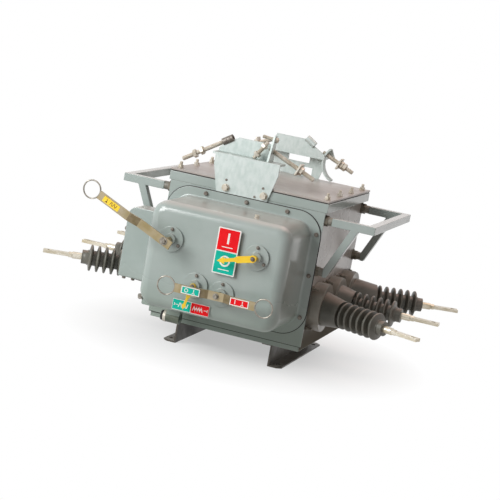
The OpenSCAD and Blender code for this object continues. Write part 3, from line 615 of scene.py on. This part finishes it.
# Clamp bolt beside the front ear, and the bolt through the ear's top
CLAMP_FOOT, CLAMP_HEAD = Vector((-8, -232, 621)), Vector((29, -232, 678))
CLAMP_R, CLAMP_NUTS, CLAMP_NUT_T, CLAMP_PITCH = 6.5, (12, 46), 10, 2
EAR_BOLT, EAR_WAY, EAR_R = (43, -212, 687), (1, 0, -0.1), 5.5
bm = bmesh.new()
way = CLAMP_HEAD - CLAMP_FOOT
stamp(bm, thread(CLAMP_R, 0, way.length, CLAMP_PITCH), at(CLAMP_FOOT, way))
for along in CLAMP_NUTS:
    stamp(bm, hexagon(20, along, along + CLAMP_NUT_T), at(CLAMP_FOOT, way, along))
ear_bolt = at(EAR_BOLT, EAR_WAY)
stamp(bm, thread(EAR_R, -40, 12, CLAMP_PITCH), ear_bolt)
stamp(bm, hexagon(15, 3, 10), ear_bolt)
piece("clamp_bolts", bm, bright_zinc, slot="zinc_steel")


# Signs: an aluminium plate on posts, and labels stuck on; each print lies on the one below

WHITE, RED, GREEN, YELLOW, BROWN, ZINC = range(6)
PRINTS = (white_print, red_print, green_print, yellow_print, brown_print, bright_zinc)
# Thickness of a print, and the chamfer on its rim
INK, INK_RIM = 0.25, 0.05
# An arrow's stroke, its barbs and where they stand, as shares of its length, and the barbs' lean in degrees
STROKE, BARB, BARB_AT, BARB_LEAN = 0.16, 0.5, 0.34, 45
# Width of a coil's strokes in millimetres, and their lean in degrees
COIL_STROKE, COIL_LEAN = 2.2, 18


def printed(name, place, layers, body="housing"):
    """A sign from its layers: a loose mesh, its place on the sign, its turn and its colour."""
    bm = bmesh.new()
    for mesh, x, y, turn, index in layers:
        spot = Matrix.Translation((x * MM, y * MM, 0)) @ Matrix.Rotation(math.radians(turn), 4, "Z")
        stamp(bm, mesh, place @ spot, index)
    return piece(name, bm, *PRINTS, body=body)


def arrow(x, y, turn, size, lift, index=0):
    """The layers of an arrow: a shaft and two barbs."""
    ahead = Matrix.Rotation(math.radians(turn), 2)
    shaft = plate(size, size * STROKE, INK, 0, INK_RIM, lift)
    barb = plate(size * BARB, size * STROKE, INK, 0, INK_RIM, lift)
    layers = [(shaft, x, y, turn, index)]
    for lean in (-1, 1):
        shift = ahead @ Vector((size * BARB_AT, -lean * size * STROKE))
        layers.append((barb, x + shift.x, y + shift.y, turn - lean * BARB_LEAN, index))
    return layers


def coil(x, y, pitch, turns, height, lift, index=0):
    """The layers of a spring's picture: slanting strokes in a row."""
    stroke = plate(COIL_STROKE, height, INK, 0, INK_RIM, lift)
    return [(stroke, x + (i - (turns - 1) / 2) * pitch, y, COIL_LEAN if i % 2 else -COIL_LEAN, index)
            for i in range(turns)]


# Position sign: its thickness, posts, place, size and white border, and where its marks and rules stand in a field
SIGN_T, POST, SIGN_X, SIGN_Z = 1.5, 10, 38, 364
SIGN_W, SIGN_H, SIGN_BORDER = 70, 138, 3.5
MARK_RISE, RULE_DROP = 5, 21
field = SIGN_H / 2 - 1.5 * SIGN_BORDER
half = plate(SIGN_W - 2 * SIGN_BORDER, field, INK, 1.5, INK_RIM, POST + SIGN_T)
middle = (field + SIGN_BORDER) / 2
top_ink = POST + SIGN_T + INK
rule = plate(34, 2.5, INK, 0, INK_RIM, top_ink)
printed("position_sign", at((SIGN_X, FACE_Y, SIGN_Z)), [
    (disc(4, 0, POST), 0, middle, 0, ZINC), (disc(4, 0, POST), 0, -middle, 0, ZINC),
    (plate(SIGN_W, SIGN_H, SIGN_T, 3, 0.3, POST), 0, 0, 0, WHITE),
    (half, 0, middle, 0, RED), (half, 0, -middle, 0, GREEN),
    (plate(6, 32, INK, 0, INK_RIM, top_ink), 0, middle + MARK_RISE, 0, WHITE),
    (ring(14, 5, INK, top_ink), 0, MARK_RISE - middle, 0, WHITE),
    (rule, 0, middle - RULE_DROP, 0, WHITE), (rule, 0, -middle - RULE_DROP, 0, WHITE)])

# Charge sign: its size and place, how far it stands off the face, and how much smaller its backing is
STRIP_W, STRIP_H, STRIP_T, STRIP_X, STRIP_Z = 117, 33, 1, -43, 175
STRIP_LIFT, BACKING_LESS = 3, 12
half = plate(STRIP_W / 2 - 2, STRIP_H - 3, INK, 1, INK_RIM, STRIP_LIFT + STRIP_T)
top_ink = STRIP_LIFT + STRIP_T + INK
printed("charge_sign", at((STRIP_X, FACE_Y, STRIP_Z)), [
    (plate(STRIP_W - BACKING_LESS, STRIP_H - BACKING_LESS, STRIP_LIFT, 1), 0, 0, 0, ZINC),
    (plate(STRIP_W, STRIP_H, STRIP_T, 2, 0.2, STRIP_LIFT), 0, 0, 0, WHITE),
    (half, -STRIP_W / 4, 0, 0, GREEN), (half, STRIP_W / 4, 0, 0, RED),
    *arrow(-47, 0, 180, 12, top_ink), *coil(-24, 0, 6.5, 5, 14, top_ink),
    *arrow(48, 0, 0, 12, top_ink), *coil(22, 0, 3.8, 8, 16, top_ink)])

# Labels on the levers: size, thickness, and how far behind a lever's front they lie
LABEL_W, LABEL_H, LABEL_T, LABEL_BACK = 58, 22, 0.2, 0.5
# The handle's label: its height, and its place along the handle
HANDLE_LABEL_H, LABEL_ALONG = 18, 190
lever_y = box_mm("close_trip_lever")[0].y + LABEL_BACK
handle_y = box_mm("charging_handle")[0].y + LABEL_BACK
for name, x, colour in (("open_label", -74, GREEN), ("close_label", 78, RED)):
    top_ink = LABEL_T + INK
    mark = ring(5, 2, INK, top_ink) if colour == GREEN else plate(2.5, 12, INK, 0, INK_RIM, top_ink)
    printed(name, at((PIVOTS["lever"].x + x, lever_y, PIVOTS["lever"].z)), [
        (plate(LABEL_W, LABEL_H, LABEL_T, 1, 0.1), 0, 0, 0, WHITE),
        (plate(LABEL_W - 6, LABEL_H - 5, INK, 0.5, INK_RIM, LABEL_T), 0, 0, 0, colour),
        (mark, -13, 0, 0, WHITE), *arrow(10, 0, -90, 13, top_ink)], body="close_trip_lever")

spot = PIVOTS["handle"] + handle_way * LABEL_ALONG
printed("charging_label", at((spot.x, handle_y, spot.z), turn=HANDLE_ANGLE - 180), [
    (plate(LABEL_W, HANDLE_LABEL_H, LABEL_T, 1, 0.1), 0, 0, 0, YELLOW), *coil(8, 0, 5, 5, 11, LABEL_T, BROWN),
    *arrow(-16, 0, -90, 13, LABEL_T, BROWN)], body="charging_handle")


# Pivot bolts, which turn with what they hold

HANDLE_BOLT_Y, LEVER_BOLT_Y = -541, -528
POINTER_BOLT = bolt(9, 5, 7, 1)
place = at((PIVOTS["handle"].x, HANDLE_BOLT_Y, PIVOTS["handle"].z), turn=20)
stamps("handle_pivot_bolt", bolt(14, 7, 12), [place], burnt_zinc, body="charging_handle", slot="zinc_steel")
place = at((PIVOTS["lever"].x, LEVER_BOLT_Y, PIVOTS["lever"].z), turn=10)
stamps("lever_pivot_bolt", bolt(12, 7, 9), [place], burnt_zinc, body="close_trip_lever", slot="zinc_steel")
for name in ("position", "charge"):
    front = box_mm(name + "_pointer")[0].y
    stamps(name + "_pivot_bolt", POINTER_BOLT, [at((PIVOTS[name].x, front, PIVOTS[name].z))], browned,
           body=name + "_pointer")


# Stage, light and camera

CAMERA_AIM = Vector((-0.0367, 0.0022, 0.3014))
CAMERA_DISTANCE = 5.1512
CAMERA_AZIMUTH, CAMERA_ELEVATION, CAMERA_ROLL = 16.515, 9.327, 10.3
CAMERA_LENS = 114.95
camera = bpy.data.objects.new("camera", bpy.data.cameras.new("camera"))
scene.collection.objects.link(camera)
scene.camera = camera
camera.data.lens = CAMERA_LENS
camera.data.clip_end = 100
looking = (Matrix.Rotation(math.radians(CAMERA_AZIMUTH), 4, "Z")
           @ Matrix.Rotation(math.radians(90 - CAMERA_ELEVATION), 4, "X")
           @ Matrix.Rotation(math.radians(CAMERA_ROLL), 4, "Z"))
camera.matrix_world = Matrix.Translation(CAMERA_AIM + looking @ Vector((0, 0, CAMERA_DISTANCE))) @ looking


def seen_rays(tree):
    """1 for rays that show the background: from the camera, mirrored or let through."""
    path = add_node(tree, "ShaderNodeLightPath").outputs
    total = path["Is Camera Ray"]
    for kind in ("Is Glossy Ray", "Is Transmission Ray"):
        both = add_node(tree, "ShaderNodeMath", {0: total, 1: path[kind]}, operation="ADD", use_clamp=True)
        total = both.outputs[0]
    return total


# Pale floor that keeps the shadow under the part and fades to white further off
FLOOR_REACH = 20
bm = bmesh.new()
bmesh.ops.create_grid(bm, x_segments=1, y_segments=1, size=FLOOR_REACH)
floor = bpy.data.objects.new("floor", loose_mesh(bm))
scene.collection.objects.link(floor)
floor_paint = finish("pale studio floor", "E2E2E2", "E6E6E6", 400, 0.8, 0.9)
floor.data.materials.append(floor_paint)
tree = floor_paint.node_tree
# Metres from the middle where the floor begins to fade and where it is white, and the share of white till then
FADE_FROM, FADE_TO, LIFT = 0.15, 0.6, 0.45
place = add_node(tree, "ShaderNodeTexCoord").outputs["Object"]
away = add_node(tree, "ShaderNodeVectorMath", {0: place}, operation="LENGTH").outputs["Value"]
fade = add_node(tree, "ShaderNodeMapRange", {"Value": away, "From Min": FADE_FROM, "From Max": FADE_TO,
                                             "To Min": LIFT}).outputs[0]
shown = add_node(tree, "ShaderNodeMath", {0: fade, 1: seen_rays(tree)}, operation="MULTIPLY").outputs[0]
white = add_node(tree, "ShaderNodeEmission", {"Strength": 1.0}).outputs[0]
mixed = add_node(tree, "ShaderNodeMixShader", {0: shown, 1: tree.nodes["Principled BSDF"].outputs[0], 2: white})
tree.links.new(mixed.outputs[0], tree.nodes["Material Output"].inputs["Surface"])

# Room light that is dimmer than the white that shows
ROOM_LIGHT = 0.1
world = bpy.data.worlds.new("studio")
scene.world = world
world.use_nodes = True
tree = world.node_tree
room = tree.nodes["Background"]
room.inputs["Color"].default_value = (1, 1, 1, 1)
room.inputs["Strength"].default_value = ROOM_LIGHT
white = add_node(tree, "ShaderNodeBackground", {"Color": (1, 1, 1, 1), "Strength": 1.0}).outputs[0]
mixed = add_node(tree, "ShaderNodeMixShader", {0: seen_rays(tree), 1: room.outputs[0], 2: white})
tree.links.new(mixed.outputs[0], tree.nodes["World Output"].inputs["Surface"])

# Softboxes: name, place and size in metres, watts, colour
for name, spot, size, watts, colour in (("key", (-2.6, -3.4, 2.2), 2.4, 185, "FFFFFF"),
                                        ("fill", (3.4, -0.6, 1.8), 2.4, 6.5, "FFCABC"),
                                        ("top", (0.6, 1.0, 3.6), 2.6, 46, "FFDCD0")):
    light = bpy.data.lights.new(name, "AREA")
    light.size = size
    light.energy = watts
    light.color = srgb(colour)[:3]
    lamp = bpy.data.objects.new(name, light)
    scene.collection.objects.link(lamp)
    lamp.location = spot
    lamp.rotation_mode = "QUATERNION"
    lamp.rotation_quaternion = (CAMERA_AIM - Vector(spot)).to_track_quat("-Z", "Y")

scene.view_settings.view_transform = "Standard"
